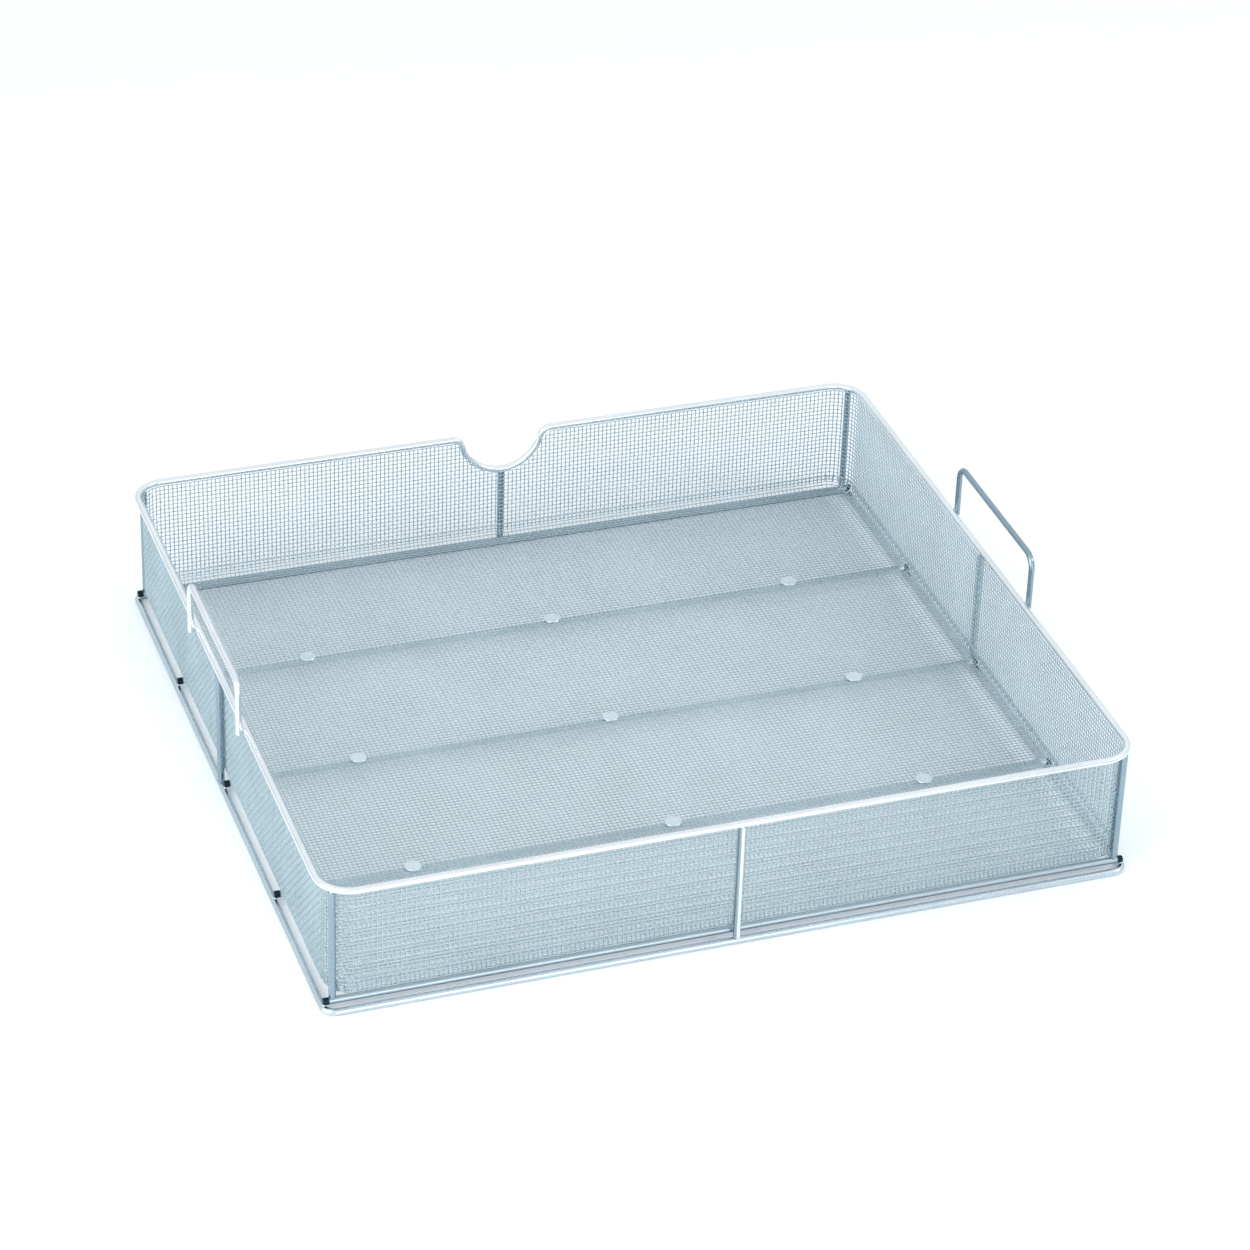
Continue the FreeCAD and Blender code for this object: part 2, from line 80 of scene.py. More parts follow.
class BasketSizes(bpy.types.PropertyGroup):
    """Sizes of the wires and of the cloth."""

    width: length("Width", "Over the long rim wires, left to right", 0.460)
    depth: length("Depth", "Over the short rim wires, front to back", 0.430)
    height: length("Height", "From the ground to the top of the rim", 0.080)
    frame_wire: length("Frame wire", "Diameter of the rim, base, rod and post wires", 0.004)
    handle_wire: length("Handle wire", "Diameter of the handle wires", 0.0035)
    rim_corner: length("Rim corner", "Bend of the rim's centreline", 0.018)
    base_corner: length("Base corner", "Bend of the base wire's centreline", 0.007)
    notch_depth: length("Notch depth", "How far the back rim dips", 0.0246)
    notch_bowl: length("Notch bowl", "Bend at the bottom of the notch", 0.0255)
    notch_shoulder: length("Notch shoulder", "Bend beside the notch", 0.007)
    handle_spread: length("Handle spread", "Between the legs of a handle", 0.107)
    handle_rise: length("Handle rise", "From the rim to the top of a handle", 0.030)
    handle_bend: length("Handle bend", "Bend between a leg and the grip", 0.008)
    handle_lap: length("Handle lap", "How far a leg runs down beside the rim", 0.005)
    rod_spacing: length("Rod spacing", "Between the inner base rods", 0.109)
    post_shift: length("Post shift", "Side posts behind the middle rod", 0.006)
    cloth: length("Cloth", "Thickness of the woven cloth", 0.0011)
    cloth_wire: length("Cloth wire", "Diameter of the wires of the cloth", 0.0007)
    cloth_pitch: length("Cloth pitch", "From wire to wire of the cloth", 0.0026)
    cloth_lift: length("Cloth lift", "How far a woven wire rises and falls", 0.00019)
    fold_radius: length("Fold radius", "Fold between the floor and its lip", 0.0035)
    lip_rise: length("Lip rise", "Height of the lip above the fold", 0.005)
    ridge_rise: length("Ridge rise", "From the core of the cloth to its face", 0.0003)
    spot_diameter: length("Spot diameter", "Width of a weld spot on the floor", 0.010)
    spot_spread: length("Spot spread", "Between weld spots along a rod", 0.150)
    spot_thickness: length("Spot thickness", "Height of a weld spot", 0.0004)


class BasketColours(bpy.types.PropertyGroup):
    """Colours and gloss of the steel and of the studio."""

    # On the left handle this bright steel is painted light, set against the painted shade of the
    # right handle.
    wire: colour("Wire", "Bright steel of the rim and the left handle", (0.84, 0.87, 0.89))
    base: colour("Base", "Steel of the base wire", (0.60, 0.68, 0.73))
    # The rod colours are painted shade: the rods are darkened for the shade under the cloth, the
    # edge rods most, for the shade at the fold.
    edge_rod: colour("Edge rod", "Steel of the first and the last rod, darkened as painted shade", (0.44, 0.52, 0.57))
    inner_rod: colour("Inner rod", "Steel of the rods under the floor, darkened as painted shade", (0.66, 0.74, 0.78))
    # The post colour is painted shade: the posts and the right handle are the rim's steel,
    # darkened.
    post: colour("Post", "Steel of the posts and the right handle, darkened as painted shade", (0.31, 0.40, 0.46))
    # Painted shade at the rod ends, where they run under the wall and the rim.
    painted_end_shade: colour("Painted shade at the rod ends", "Dark tint at the cut ends of the rods", (0.016, 0.032, 0.045))
    cloth: colour("Cloth", "Steel of the woven cloth", (0.60, 0.715, 0.765))
    weld: colour("Weld", "Steel of the welds", (0.68, 0.76, 0.80))
    ground: colour("Ground", "Studio floor", (0.94, 0.96, 0.975))
    wire_roughness: share("Wire roughness", "Roughness of the bright wires", 0.20)
    base_roughness: share("Base roughness", "Roughness of the base wire", 0.24)
    post_roughness: share("Post roughness", "Roughness of the wires darkened as painted shade", 0.28)
    rod_roughness: share("Rod roughness", "Roughness of the cross rods", 0.35)
    cloth_roughness: share("Cloth roughness", "Roughness of the cloth wires", 0.34)
    weld_roughness: share("Weld roughness", "Roughness of the welds", 0.30)


def sizes():
    return bpy.context.scene.basket_sizes


def colours():
    return bpy.context.scene.basket_colours


# Meshes from swept rings


class Sweeps:
    """Gathers tubes and closes them into one mesh."""

    def __init__(self):
        self.vertices = []
        self.polygons = []
        self.count = 0

    def add_rings(self, rings, closed=False):
        """Joins rings of vertices, an array of ring by side by 3, into one tube."""
        number, sides, _ = rings.shape
        index = np.arange(number * sides).reshape(number, sides) + self.count
        ahead = np.roll(index, -1, axis=0) if closed else index[1:]
        here = index if closed else index[:-1]
        corners = (here, np.roll(here, -1, axis=1), np.roll(ahead, -1, axis=1), ahead)
        self.polygons.append(np.stack(corners, axis=-1).reshape(-1, 4))
        if not closed:
            self.polygons.append(index[:1, ::-1])
            self.polygons.append(index[-1:])
        self.vertices.append(rings.reshape(-1, 3))
        self.count += number * sides

    def piece(self, name, material, sharp=None):
        mesh = bpy.data.meshes.new(name)
        vertices = np.concatenate(self.vertices)
        mesh.vertices.add(len(vertices))
        mesh.vertices.foreach_set("co", vertices.astype(np.float32).ravel())
        corners = np.concatenate([polygons.ravel() for polygons in self.polygons])
        widths = np.concatenate([np.full(len(p), p.shape[1]) for p in self.polygons])
        starts = np.concatenate(((0,), np.cumsum(widths)[:-1]))
        mesh.loops.add(len(corners))
        mesh.loops.foreach_set("vertex_index", corners.astype(np.int32))
        mesh.polygons.add(len(widths))
        mesh.polygons.foreach_set("loop_start", starts.astype(np.int32))
        mesh.polygons.foreach_set("use_smooth", np.ones(len(widths), dtype=bool))
        mesh.update(calc_edges=True)
        mesh.validate()
        if sharp is not None:
            mesh.set_sharp_from_angle(angle=sharp)
        return finish_piece(name, mesh, material)


def finish_piece(name, mesh, material):
    mesh.materials.append(material)
    piece = bpy.data.objects.new(name, mesh)
    bpy.context.scene.collection.objects.link(piece)
    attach(piece, "root")
    return piece


def unit(vectors):
    return vectors / np.linalg.norm(vectors, axis=-1, keepdims=True)


def tangents(path, closed):
    """Directions of a path at its points, halfway between the runs that meet there."""
    if closed:
        steps = unit(np.roll(path, -1, axis=0) - path)
        return unit(steps + np.roll(steps, 1, axis=0))
    steps = unit(np.diff(path, axis=0))
    return unit(np.vstack((steps[:1], steps[1:] + steps[:-1], steps[-1:])))


def spokes(turn, first, second):
    """Directions at angles between two directions, for every point of a path."""
    return (np.cos(turn)[None, :, None] * first[:, None]
            + np.sin(turn)[None, :, None] * second[:, None])


def tube_rings(path, radius, sides, toward, closed=False):
    """Rings of a round tube. toward is a direction that no part of the path follows."""
    direction = tangents(path, closed)
    toward = np.broadcast_to(toward, path.shape)
    first = unit(toward - direction * np.sum(toward * direction, axis=1, keepdims=True))
    second = np.cross(direction, first)
    turn = np.arange(sides) * (2 * math.pi / sides)
    radius = np.broadcast_to(radius, len(path))[:, None, None]
    return path[:, None] + radius * spokes(turn, first, second)


def arc(centre, radius, start, end, steps, first=ALONG_X, second=ALONG_Y):
    """Points of an arc from one angle to another, in radians, in the plane of two directions."""
    turn = np.linspace(start, end, steps + 1)[:, None]
    return np.asarray(centre) + radius * (np.cos(turn) * first + np.sin(turn) * second)


def rounded_loop(half_x, half_y, corner, height, steps):
    """Points of a rounded rectangle, from the middle of its right side round the back."""
    points = []
    for number, (sign_x, sign_y) in enumerate(CORNERS):
        centre = (sign_x * (half_x - corner), sign_y * (half_y - corner), height)
        start = number * math.pi / 2
        points.append(arc(centre, corner, start, start + math.pi / 2, steps))
    return np.vstack(points)


# Materials

DRAWN_GRAIN, DRAWN_RELIEF = 900.0, 0.00002
CLOTH_GRAIN, CLOTH_RELIEF = 1500.0, 0.00001
WELD_GRAIN, WELD_RELIEF = 1200.0, 0.00004
PATCH_SCALE, PATCH_DETAIL = 22.0, 3.0
PATCH_TONES = (0.93, 1.04)
MARK_DETAIL = 4.0
GLOSS_SPREAD = (0.8, 1.25)
BUMP_STRENGTH = 0.35
# Where the painted shade at the rod ends begins and where it is full, measured in from the ends of
# the rods.
END_SHADE_FROM, END_SHADE_FULL = 0.0038, 0.0030
# Across the front post: where its painted shade on the left turns into painted light on the right.
SHADE_FROM, SHADE_TO = -0.0009, -0.0005


def new_material(name):
    material = bpy.data.materials.new(name)
    material.use_nodes = True
    shader = material.node_tree.nodes["Principled BSDF"]
    return material, material.node_tree, shader


def noise_texture(tree, scale, detail):
    coordinates = tree.nodes.new("ShaderNodeTexCoord")
    noise = tree.nodes.new("ShaderNodeTexNoise")
    noise.inputs["Scale"].default_value = scale
    noise.inputs["Detail"].default_value = detail
    tree.links.new(coordinates.outputs["Object"], noise.inputs["Vector"])
    return noise


def ramp(tree, source, stops):
    """Maps a texture to colours given as (position, colour)."""
    node = tree.nodes.new("ShaderNodeValToRGB")
    for element, (position, tint) in zip(node.color_ramp.elements, stops):
        element.position = position
        element.color = tuple(tint) + (1.0,)
    tree.links.new(source, node.inputs["Fac"])
    return node.outputs["Color"]


def shade(tint, factor):
    return tuple(min(1.0, part * factor) for part in tint)


def steel_material(name, tint, roughness, grain, relief):
    """Metal whose colour and gloss vary a little, with fine drawing marks."""
    material, tree, shader = new_material(name)
    shader.inputs["Metallic"].default_value = 1.0
    patches = noise_texture(tree, PATCH_SCALE, PATCH_DETAIL)
    darker, lighter = [shade(tint, factor) for factor in PATCH_TONES]
    tree.links.new(ramp(tree, patches.outputs["Fac"], ((0.30, darker), (0.70, lighter))),
                   shader.inputs["Base Color"])
    marks = noise_texture(tree, grain, MARK_DETAIL)
    smoother, rougher = [(roughness * factor,) * 3 for factor in GLOSS_SPREAD]
    tree.links.new(ramp(tree, marks.outputs["Fac"], ((0.35, smoother), (0.65, rougher))),
                   shader.inputs["Roughness"])
    bump = tree.nodes.new("ShaderNodeBump")
    bump.inputs["Strength"].default_value = BUMP_STRENGTH
    bump.inputs["Distance"].default_value = relief
    tree.links.new(marks.outputs["Fac"], bump.inputs["Height"])
    tree.links.new(bump.outputs["Normal"], shader.inputs["Normal"])
    return material


def shared_material(name, *settings):
    return bpy.data.materials.get(name) or steel_material(name, *settings)


def wire_steel():
    return shared_material("bright_drawn_steel", colours().wire, colours().wire_roughness,
                           DRAWN_GRAIN, DRAWN_RELIEF)


# The base wire's steel is darker than the rim's.
def base_steel():
    return shared_material("base_wire_steel", colours().base, colours().base_roughness,
                           DRAWN_GRAIN, DRAWN_RELIEF)


# Steel darkened as painted shade, for the posts and the right handle.
def post_steel():
    return shared_material("painted_shade_post_steel", colours().post, colours().post_roughness,
                           DRAWN_GRAIN, DRAWN_RELIEF)


def blend_along_x(material, tint, start, end, mirrored):
    """Turns a steel's colour into another between two places, from left to right or outward."""
    tree = material.node_tree
    base_colour = tree.nodes["Principled BSDF"].inputs["Base Color"]
    coordinates = tree.nodes.new("ShaderNodeTexCoord")
    split = tree.nodes.new("ShaderNodeSeparateXYZ")
    tree.links.new(coordinates.outputs["Object"], split.inputs["Vector"])
    place = split.outputs["X"]
    if mirrored:
        distance = tree.nodes.new("ShaderNodeMath")
        distance.operation = "ABSOLUTE"
        tree.links.new(place, distance.inputs[0])
        place = distance.outputs[0]
    progress = tree.nodes.new("ShaderNodeMapRange")
    progress.inputs["From Min"].default_value = start
    progress.inputs["From Max"].default_value = end
    tree.links.new(place, progress.inputs["Value"])
    blend = tree.nodes.new("ShaderNodeMix")
    blend.data_type = "RGBA"
    tree.links.new(progress.outputs["Result"], blend.inputs["Factor"])
    tree.links.new(base_colour.links[0].from_socket, blend.inputs["A"])
    blend.inputs["B"].default_value = tuple(tint) + (1.0,)
    tree.links.new(blend.outputs["Result"], base_colour)


def rod_steel(name, tint):
    """Rod steel with painted shade that turns nearly black over the last few millimetres of each
    rod.
    """
    if bpy.data.materials.get(name):
        return bpy.data.materials[name]
    material = steel_material(name, tint, colours().rod_roughness, DRAWN_GRAIN, DRAWN_RELIEF)
    tip = rim_half()[0]
    blend_along_x(material, colours().painted_end_shade, tip - END_SHADE_FROM, tip - END_SHADE_FULL, mirrored=True)
    return material


def front_post_shade_and_light_steel():
    """Steel with painted shade on its left side and painted light, the bright wire steel, on its
    right side.
    """
    material = steel_material("front_post_shade_and_light_steel", colours().post, colours().wire_roughness,
                              DRAWN_GRAIN, DRAWN_RELIEF)
    blend_along_x(material, colours().wire, SHADE_FROM, SHADE_TO, mirrored=False)
    return material


def cloth_steel():
    return shared_material("woven_cloth_steel", colours().cloth, colours().cloth_roughness,
                           CLOTH_GRAIN, CLOTH_RELIEF)


def weld_steel():
    return shared_material("pressed_weld_steel", colours().weld, colours().weld_roughness,
                           WELD_GRAIN, WELD_RELIEF)


# Wires of the frame

WIRE_SIDES = 24
BEND_STEPS = 14
ROD_CHAMFER = 0.0004
POST_CHAMFER = 0.0002
HANDLE_TIP = 0.2


def rim_half():
    """Half width and half depth of the rim's and the base's centrelines."""
    return (sizes().width - sizes().frame_wire) / 2, (sizes().depth - sizes().frame_wire) / 2


def base_top():
    return sizes().frame_wire + SEAT_GAP


def rod_top():
    return base_top() + sizes().frame_wire + SEAT_GAP


def rim_height():
    return sizes().height - sizes().frame_wire / 2


def wall_face():
    """Half width, half depth and corner radius of the outer face of the wall cloth."""
    inset = sizes().frame_wire / 2 + SEAT_GAP
    half_x, half_y = rim_half()
    return half_x - inset, half_y - inset, sizes().rim_corner - inset


def pan_face():
    """Half width, half depth and corner radius of the outer face of the floor cloth's lip."""
    return tuple(reach - sizes().cloth - SEAT_GAP for reach in wall_face())


def notch_outline():
    """Points of the notch, from its right shoulder to its left, as x and z."""
    bowl, shoulder, depth = sizes().notch_bowl, sizes().notch_shoulder, sizes().notch_depth
    top = rim_height()
    bend = bowl + shoulder
    reach = math.sqrt(depth * (2 * bend - depth))
    bowl_centre = (0.0, 0.0, top - depth + bowl)
    tilt = math.asin(reach / bend)
    right_shoulder = arc((reach, 0.0, top - shoulder), shoulder, math.pi / 2, math.pi / 2 + tilt,
                         BEND_STEPS, second=UP)
    bottom = arc(bowl_centre, bowl, -math.pi / 2 + tilt, -math.pi / 2 - tilt, 3 * BEND_STEPS,
                 second=UP)
    left_shoulder = right_shoulder[::-1] * (-1.0, 1.0, 1.0)
    return np.vstack((right_shoulder, bottom[1:-1], left_shoulder))


def capped_wire(start, end, radius, chamfer, toward):
    """Rings of a straight wire whose ends are chamfered."""
    start, end = np.asarray(start), np.asarray(end)
    step = (end - start) / np.linalg.norm(end - start) * chamfer
    path = np.array((start, start + step, end - step, end))
    radii = np.array((radius - chamfer, radius, radius, radius - chamfer))
    return tube_rings(path, radii, WIRE_SIDES, toward)


def build_top_rim():
    half_x, half_y = rim_half()
    loop = rounded_loop(half_x, half_y, sizes().rim_corner, rim_height(), BEND_STEPS)
    notch = notch_outline() + (0.0, half_y, 0.0)
    path = np.vstack((loop[:BEND_STEPS + 1], notch, loop[BEND_STEPS + 1:]))
    rings = tube_rings(path, sizes().frame_wire / 2, WIRE_SIDES, UP, closed=True)
    sweeps = Sweeps()
    sweeps.add_rings(rings, closed=True)
    piece = sweeps.piece("top_rim_wire", wire_steel())
    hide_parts("top_rim")


def build_base_rim():
    half_x, half_y = rim_half()
    radius = sizes().frame_wire / 2
    path = rounded_loop(half_x, half_y, sizes().base_corner, radius, BEND_STEPS)
    sweeps = Sweeps()
    sweeps.add_rings(tube_rings(path, radius, WIRE_SIDES, UP, closed=True), closed=True)
    piece = sweeps.piece("base_rim_wire", base_steel())
    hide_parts("base_rim")


def post_reach():
    """Where the corner posts stand, from the middle."""
    wall_x, wall_y, corner = wall_face()
    reach = (corner + SEAT_GAP + sizes().frame_wire / 2) * math.sqrt(0.5)
    return wall_x - corner + reach, wall_y - corner + reach


def straight_piece(node, start, end, chamfer, toward, material):
    sweeps = Sweeps()
    sweeps.add_rings(capped_wire(start, end, sizes().frame_wire / 2, chamfer, toward))
    piece = sweeps.piece(node + "_wire", material, sharp=SHARP_EDGE)
    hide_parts(node)


def build_rods():
    half_x, _ = rim_half()
    _, edge = post_reach()
    height = base_top() + sizes().frame_wire / 2
    places = (-edge, -sizes().rod_spacing, 0.0, sizes().rod_spacing, edge)
    for node, y in zip(ROD_NAMES, places):
        # Every rod is darkened as painted shade, the edge rods most.
        if abs(y) == edge:
            material = rod_steel("edge_rod_shade_steel", colours().edge_rod)
        else:
            material = rod_steel("inner_rod_shade_steel", colours().inner_rod)
        straight_piece(node, (-half_x, y, height), (half_x, y, height), ROD_CHAMFER, UP, material)


def build_posts():
    post_x, post_y = post_reach()
    side_x, end_y = rim_half()
    under_rim = sizes().height - sizes().frame_wire - SEAT_GAP
    places = [(-post_x, -post_y), (post_x, -post_y), (-post_x, post_y), (post_x, post_y)]
    for node, (x, y) in zip(CORNER_POSTS, places):
        straight_piece(node, (x, y, rod_top()), (x, y, under_rim), POST_CHAMFER, ALONG_X,
                       post_steel())
    places = [(0.0, -end_y, under_rim), (0.0, end_y, under_rim - sizes().notch_depth),
              (-side_x, sizes().post_shift, under_rim), (side_x, sizes().post_shift, under_rim)]
    for node, (x, y, top) in zip(MID_POSTS, places):
        # The front post has painted shade on its left and painted light on its right; the other
        # posts have painted shade.
        material = front_post_shade_and_light_steel() if node == "mid_post_front" else post_steel()
        straight_piece(node, (x, y, base_top()), (x, y, top), POST_CHAMFER, ALONG_X, material)


def build_handles():
    half_x, _ = rim_half()
    radius = sizes().handle_wire / 2
    reach = half_x + sizes().frame_wire / 2 + radius + SEAT_GAP
    foot = sizes().height - sizes().handle_lap
    grip = sizes().height + sizes().handle_rise - radius
    bend = sizes().handle_bend
    leg = sizes().handle_spread / 2
    for node, side in (("handle_left", -1.0), ("handle_right", 1.0)):
        x = side * reach
        front = arc((x, bend - leg, grip - bend), bend, math.pi, math.pi / 2, BEND_STEPS,
                    ALONG_Y, UP)
        back = arc((x, leg - bend, grip - bend), bend, math.pi / 2, 0.0, BEND_STEPS, ALONG_Y, UP)
        tip = radius * HANDLE_TIP
        path = np.vstack(([(x, -leg, foot), (x, -leg, foot + tip)], front, back,
                          [(x, leg, foot + tip), (x, leg, foot)]))
        radii = np.full(len(path), radius)
        radii[[0, -1]] = radius - tip
        sweeps = Sweeps()
        sweeps.add_rings(tube_rings(path, radii, WIRE_SIDES, ALONG_X))
        # Painted light and shade: the left handle gets the bright steel, the right handle the dark
        # steel of the posts.
        material = wire_steel() if node == "handle_left" else post_steel()
        piece = sweeps.piece(node + "_wire", material, sharp=SHARP_EDGE)
        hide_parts(node)


# Woven cloth

CLOTH_SIDES = 3
STRIPE = 0.22
LIP_LEVELS = 6
ON_BACK_WALL = 0.000001
RIM_CLEARANCE = 0.0003
FOLD_CLEARANCE = 0.0002


def cloth_tube(sweeps, path, across, outward, closed=False, swell=1.0):
    """Adds one thin wire of the cloth, from its points, the directions across it and outward."""
    turn = math.pi / 2 + np.arange(CLOTH_SIDES) * (2 * math.pi / CLOTH_SIDES)
    radius = swell * sizes().cloth_wire / 2
    sweeps.add_rings(path[:, None] + spokes(turn, across, outward) * radius, closed)


def loop_stations(half_x, half_y, corner, count):
    """Evenly spaced points round a rounded rectangle in plan, with their outward directions."""
    centres = [np.array((sign_x * (half_x - corner), sign_y * (half_y - corner)))
               for sign_x, sign_y in CORNERS]
    steps = [centres[(number + 1) % 4] - centre for number, centre in enumerate(centres)]
    straights = [np.linalg.norm(step) for step in steps]
    bend = corner * math.pi / 2
    total = sum(straights) + 4 * bend
    points, outward = [], []
    for distance in (np.arange(count) + 0.5) * (total / count):
        number = 0
        while distance > bend + straights[number]:
            distance -= bend + straights[number]
            number += 1
        turn = number * math.pi / 2 + min(distance, bend) / corner
        direction = np.array((math.cos(turn), math.sin(turn)))
        along = steps[number] / straights[number] * max(0.0, distance - bend)
        points.append(centres[number] + direction * corner + along)
        outward.append(direction)
    return np.array(points), np.array(outward)


def perimeter(half_x, half_y, corner):
    return 4 * (half_x + half_y - 2 * corner) + 2 * math.pi * corner


def notch_floor(x):
    """Height of the cloth's edge at a place along the back wall."""
    outline = notch_outline()[::-1]
    return float(np.interp(x, outline[:, 0], outline[:, 2], left=rim_height(), right=rim_height()))


def notch_reach(z):
    """Half width of the notch at a height, or nothing below it."""
    outline = notch_outline()
    half = outline[: len(outline) // 2 + 1]
    if z <= half[-1, 2]:
        return 0.0
    return float(np.interp(z, half[::-1, 2], half[::-1, 0]))


def build_wall_mesh():
    face_x, face_y, corner = wall_face()
    inset = sizes().cloth / 2
    half_x, half_y, corner = face_x - inset, face_y - inset, corner - inset
    pitch, lift = sizes().cloth_pitch, sizes().cloth_lift
    count = 2 * round(perimeter(half_x, half_y, corner) / pitch / 2)
    places, outward = loop_stations(half_x, half_y, corner, count)
    foot = rod_top() + sizes().ridge_rise + sizes().fold_radius
    top = rim_height()
    rows = int((top - foot) / pitch)
    heights = foot + (top - foot) / rows * (np.arange(rows) + 0.5)
    outward3 = np.column_stack((outward, np.zeros(count)))
    along3 = np.cross(UP, outward3)

    uprights = Sweeps()
    for number, (place, direction, along) in enumerate(zip(places, outward3, along3)):
        end = notch_floor(place[0]) if place[1] > half_y - ON_BACK_WALL else top
        inner = heights[heights < end - RIM_CLEARANCE]
        levels = np.concatenate(((foot,), inner, (end,)))
        swing = lift * (-1.0) ** (number + np.arange(len(levels)) - 1)
        path = np.column_stack((np.repeat(place[None], len(levels), axis=0), levels))
        path += direction * swing[:, None]
        cloth_tube(uprights, path, np.broadcast_to(along, path.shape),
                   np.broadcast_to(direction, path.shape))
    piece = uprights.piece("wall_mesh_uprights", cloth_steel())
    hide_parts("wall_mesh")

    hoops = Sweeps()
    at_back = places[:, 1] > half_y - ON_BACK_WALL
    for row, height in enumerate(heights):
        swing = -lift * (-1.0) ** (np.arange(count) + row)
        path = np.column_stack((places, np.full(count, height))) + outward3 * swing[:, None]
        upper = np.broadcast_to(UP, path.shape)
        reach = notch_reach(height)
        in_notch = at_back & (np.abs(places[:, 0]) < reach)
        if not in_notch.any():
            cloth_tube(hoops, path, upper, outward3, closed=True)
            continue
        after = int(np.nonzero(in_notch)[0][-1]) + 1
        order = np.roll(np.arange(count), -after)[: count - int(in_notch.sum())]
        cloth_tube(hoops, path[order], upper[order], outward3[order])
    piece = hoops.piece("wall_mesh_hoops", cloth_steel())
    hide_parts("wall_mesh")


def fold_profile(levels):
    """Outward distance and height of the cloth's middle at shares of the way up fold and lip."""
    middle = sizes().fold_radius - (sizes().cloth / 2 - sizes().ridge_rise)
    bend = middle * math.pi / 2
    points = []
    for distance in levels:
        turn = min(distance, bend) / middle
        rise = max(0.0, distance - bend)
        points.append((middle * math.sin(turn), middle * (1 - math.cos(turn)) + rise, turn))
    return points


def floor_wires(sweeps, along_x, lines, crossings, ground, flat, levels):
    """Wires of the floor along one axis, each turned up at both ends into the lip.

    Every second wire from front to back is a little thicker, which gives the floor its stripes.
    """
    half_x, half_y, corner = flat
    lift = sizes().cloth_lift
    half_along, half_across = (half_x, half_y) if along_x else (half_y, half_x)
    profile = fold_profile(levels)
    for number, line in enumerate(lines):
        beyond = abs(line) - (half_across - corner)
        if beyond > 0:
            reach = half_along - corner + math.sqrt(max(0.0, corner ** 2 - beyond ** 2))
            slant = math.asin(min(1.0, beyond / corner)) * (1 if line > 0 else -1)
        else:
            reach, slant = half_along, 0.0
        inner = np.nonzero(np.abs(crossings) < reach - FOLD_CLEARANCE)[0]
        swing = lift * (-1.0) ** (inner + number) * (1 if along_x else -1)
        points = [(crossings[i], line, ground + s, 0.0, 0.0, 1.0) for i, s in zip(inner, swing)]
        ends = []
        for side in (-1, 1):
            end = []
            rises = abs(slant) <= math.pi / 4
            direction = (math.cos(slant) * side, math.sin(slant))
            for step, (out, rise, turn) in enumerate(profile if rises else profile[:1]):
                outward = (-math.sin(turn) * direction[0], -math.sin(turn) * direction[1],
                           math.cos(turn))
                sway = lift * (-1) ** (step + number) if step else 0.0
                end.append((side * reach + direction[0] * out + outward[0] * sway,
                            line + direction[1] * out + outward[1] * sway,
                            ground + rise + outward[2] * sway) + outward)
            ends.append(end)
        table = np.array(ends[0][::-1] + points + ends[1])
        path, inward = table[:, :3], table[:, 3:]
        if not along_x:
            path, inward = path[:, [1, 0, 2]], inward[:, [1, 0, 2]]
        across = np.cross(tangents(path, False), inward)
        stripe = 0.0 if along_x else STRIPE * (-1) ** number
        cloth_tube(sweeps, path, unit(across), inward, swell=1.0 - abs(stripe) / 2 + stripe / 2)


def build_floor_mesh():
    face_x, face_y, corner = pan_face()
    fold = sizes().fold_radius
    flat = (face_x - fold, face_y - fold, corner - fold)
    ground = rod_top() + sizes().cloth / 2
    pitch, lift = sizes().cloth_pitch, sizes().cloth_lift
    middle = fold - (sizes().cloth / 2 - sizes().ridge_rise)
    run = middle * math.pi / 2 + sizes().lip_rise
    levels = np.linspace(0.0, run, LIP_LEVELS)
    columns = 2 * round(flat[0] / pitch)
    rows = 2 * round(flat[1] / pitch)
    x_places = flat[0] / columns * (2 * np.arange(columns) + 1 - columns)
    y_places = flat[1] / rows * (2 * np.arange(rows) + 1 - rows)

    lengthwise = Sweeps()
    floor_wires(lengthwise, True, y_places, x_places, ground, flat, levels)
    piece = lengthwise.piece("floor_mesh_lengthwise", cloth_steel())
    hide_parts("floor_mesh")

    crosswise = Sweeps()
    floor_wires(crosswise, False, x_places, y_places, ground, flat, levels)
    for out, rise, turn in fold_profile((levels[1:] + levels[:-1])[1:] / 2):
        loop_corner = flat[2] + out
        count = 2 * round(perimeter(flat[0] + out, flat[1] + out, loop_corner) / pitch / 2)
        places, outward = loop_stations(flat[0] + out, flat[1] + out, loop_corner, count)
        face = np.column_stack((outward * math.sin(turn), np.full(count, -math.cos(turn))))
        swing = lift * (-1.0) ** np.arange(count)
        path = np.column_stack((places, np.full(count, ground + rise))) + face * swing[:, None]
        along = np.column_stack((-outward[:, 1], outward[:, 0], np.zeros(count)))
        cloth_tube(crosswise, path, np.cross(face, along), face, closed=True)
    piece = crosswise.piece("floor_mesh_crosswise", cloth_steel())
    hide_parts("floor_mesh")


# Welds

SPOT_SIDES = 40
SPOT_PROFILE = ((0.15, 0.0), (0.97, 0.0), (1.0, 0.25), (0.97, 0.75), (0.88, 1.0), (0.72, 0.85),
                (0.45, 0.55), (0.15, 0.5))
SPOT_EDGE = math.radians(40)
BEAD_SEED = 7
BEAD_DETAIL = 2
BEAD_SWELL = 0.10
FLAT_BEAD = (0.0014, 0.0014, 0.0006)
ROD_BEAD = (0.0012, 0.0014, 0.0006)
ROD_BEAD_INSET = 0.0008
HANDLE_BEAD = (0.0006, 0.0014, 0.0016)


